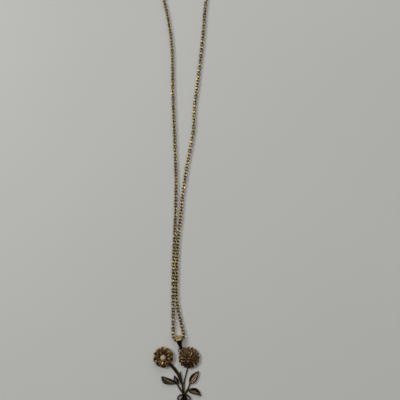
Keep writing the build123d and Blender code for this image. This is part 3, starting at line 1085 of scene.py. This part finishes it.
across = add_node(chain_tree, "ShaderNodeSeparateXYZ", {0: where}).outputs["X"]
sign = add_node(chain_tree, "ShaderNodeMath", {0: across}, operation="SIGN")
shift = add_node(
    chain_tree, "ShaderNodeMath", {0: sign.outputs[0], 1: straight.outputs[0]}, operation="MULTIPLY"
)
shift = add_node(chain_tree, "ShaderNodeCombineXYZ", {"X": shift.outputs[0]})
oval = add_node(
    chain_tree, "GeometryNodeSetPosition", {"Geometry": off_centre.outputs[0], "Offset": shift.outputs[0]}
)
half_wire = add_node(chain_tree, "ShaderNodeMath", {0: given["Wire"], 1: 0.5}, operation="MULTIPLY")
section = add_node(
    chain_tree,
    "GeometryNodeCurvePrimitiveCircle",
    {"Resolution": wire_corners, "Radius": half_wire.outputs[0]},
)
link = add_node(
    chain_tree, "GeometryNodeCurveToMesh", {"Curve": oval.outputs[0], "Profile Curve": section.outputs[0]}
)
# The joint attribute is the mask of the links' painted highlight and painted shade.
from_middle = add_node(chain_tree, "ShaderNodeMath", {0: across}, operation="ABSOLUTE")
share = add_node(
    chain_tree, "ShaderNodeMath", {0: from_middle.outputs[0], 1: half_link.outputs[0]}, operation="DIVIDE"
)
link_with_painted_shade_mask = add_node(
    chain_tree,
    "GeometryNodeStoreNamedAttribute",
    {"Geometry": link.outputs[0], "Name": "joint", "Value": share.outputs[0]},
    data_type="FLOAT",
    domain="POINT",
)
print("link from", len(chain_tree.nodes), "nodes so far")

# %% The tree for the links: copies and finish
rubbed_seed = 11

copies = add_node(
    chain_tree,
    "GeometryNodeInstanceOnPoints",
    {"Points": stops.outputs[0], "Instance": link_with_painted_shade_mask.outputs[0], "Rotation": rotation.outputs[0]},
)
luck = add_node(chain_tree, "FunctionNodeRandomValue", {"Seed": rubbed_seed}, data_type="FLOAT")
dull = add_node(
    chain_tree,
    "GeometryNodeStoreNamedAttribute",
    {"Geometry": copies.outputs[0], "Name": "rubbed", "Value": luck.outputs[1]},
    data_type="FLOAT",
    domain="INSTANCE",
)
real = add_node(chain_tree, "GeometryNodeRealizeInstances", {0: dull.outputs[0]})
finished = add_node(
    chain_tree, "GeometryNodeSetMaterial", {"Geometry": real.outputs[0], "Material": given["Finish"]}
)
chain_tree.links.new(finished.outputs[0], result)
print("tree", chain_tree.name, "with", len(chain_tree.nodes), "nodes")

# %% The chain's sizes and route
link_pitch = 1.15 * MM
link_wire = 0.33 * MM
link_width = 1.4 * MM
link_play = 0.16 * MM        # slack between two links, which lets the chain turn sharply at the bail
link_lean = 45               # degrees to either side, so that a link is square to its neighbours
link_bias = -20              # degrees that the whole chain has rolled over
link_uneven = 5              # degrees that a link may be off by chance
lying = 0.00070              # height of the middle of a link that lies on the table
in_bail = 0.00122            # where the chain lies inside the bail's head
in_ring = 0.00122            # where its last links hang in the rings
left_half = (
    (-0.00472, 0.2280, in_ring),
    (-0.0066, 0.2280, in_ring),
    (-0.0140, 0.2225, lying),
    (-0.0212, 0.2110, lying),
    (-0.0234, 0.1945, lying),
    (-0.0198, 0.1775, lying),
    (-0.0132, 0.1620, lying),
    (-0.00775, 0.1460, lying),
    (-0.00495, 0.1300, lying),
    (-0.0047, 0.1140, lying),
    (-0.00425, 0.1010, lying),
    (-0.00345, 0.0840, lying),
    (-0.00315, 0.0730, lying),
    (-0.00375, 0.0550, lying),
    (-0.00418, 0.0430, lying),
    (-0.00414, 0.0320, lying),
    (-0.00405, 0.0255, lying),
)
through_bail = (
    (-0.00400, 0.0223, 0.00070),
    (-0.00398, 0.0201, 0.00108),
    (-0.00346, 0.0192, in_bail),
    (-0.00258, 0.01875, in_bail),
    (-0.00160, 0.01877, in_bail),
    (-0.00076, 0.01925, in_bail),
    (-0.00022, 0.02008, 0.00108),
    (-0.00028, 0.0213, 0.00070),
)
right_half = (
    (-0.00085, 0.0235, lying),
    (-0.00215, 0.0290, lying),
    (-0.00259, 0.0314, lying),
    (-0.00293, 0.0350, lying),
    (-0.00291, 0.0400, lying),
    (-0.00277, 0.0470, lying),
    (-0.00258, 0.0525, lying),
    (-0.00230, 0.0560, lying),
    (-0.00208, 0.0585, lying),
    (-0.0015, 0.0630, lying),
    (-0.00085, 0.0720, lying),
    (0.0010, 0.0840, lying),
    (0.0033, 0.0950, lying),
    (0.0034, 0.1040, lying),
    (0.00435, 0.1110, lying),
    (0.00675, 0.1310, lying),
    (0.00775, 0.1475, lying),
    (0.0110, 0.1620, lying),
    (0.0182, 0.1775, lying),
    (0.0208, 0.1945, lying),
    (0.0189, 0.2110, lying),
    (0.0140, 0.2225, lying),
    (0.0066, 0.2280, in_ring),
    (0.00472, 0.2280, in_ring),
)

route_points = left_half + through_bail + right_half
route = bpy.data.curves.new("chain", "CURVE")
route.dimensions = "3D"
line = route.splines.new("NURBS")
line.points.add(len(route_points) - 1)
for point, place in zip(line.points, route_points):
    point.co = (*place, 1)
line.order_u = 3
line.use_endpoint_u = True
line.resolution_u = 24
print("route", round(line.calc_length() / MM), "mm long")

# %% The chain's links
chain_mesh = grow(
    chain_tree,
    new_object("chain", route),
    {
        "Pitch": link_pitch,
        "Wire": link_wire,
        "Width": link_width,
        "Play": link_play,
        "Lean": math.radians(link_lean),
        "Bias": math.radians(link_bias),
        "Uneven": math.radians(link_uneven),
        "Seed": 7,
        "Finish": finishes["chain_gold"],
    },
)
chain_mesh.transform(Matrix.Scale(1 / MM, 4))
new_piece("chain", chain_mesh, "chain_gold", finishes["chain_gold"], "chain_left", "chain_right")
print("links", len(chain_mesh.polygons) // (link_corners * wire_corners))

# %% [markdown]
# ## Bail, pearl, rings and clasp
# These are simple polished shapes, and the CAD model already has them exactly, so they stay and get
# their finish.

# %% Finishes for the CAD pieces
for name, slot in (
    ("bail", "polished_gold"),
    ("bead", "bead"),
    ("jump_ring", "polished_gold"),
    ("end_ring", "polished_gold"),
    ("clasp", "polished_gold"),
):
    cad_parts[name].material_slots[0].material = finishes[slot]
    print(name, "finished as", finishes[slot].name)
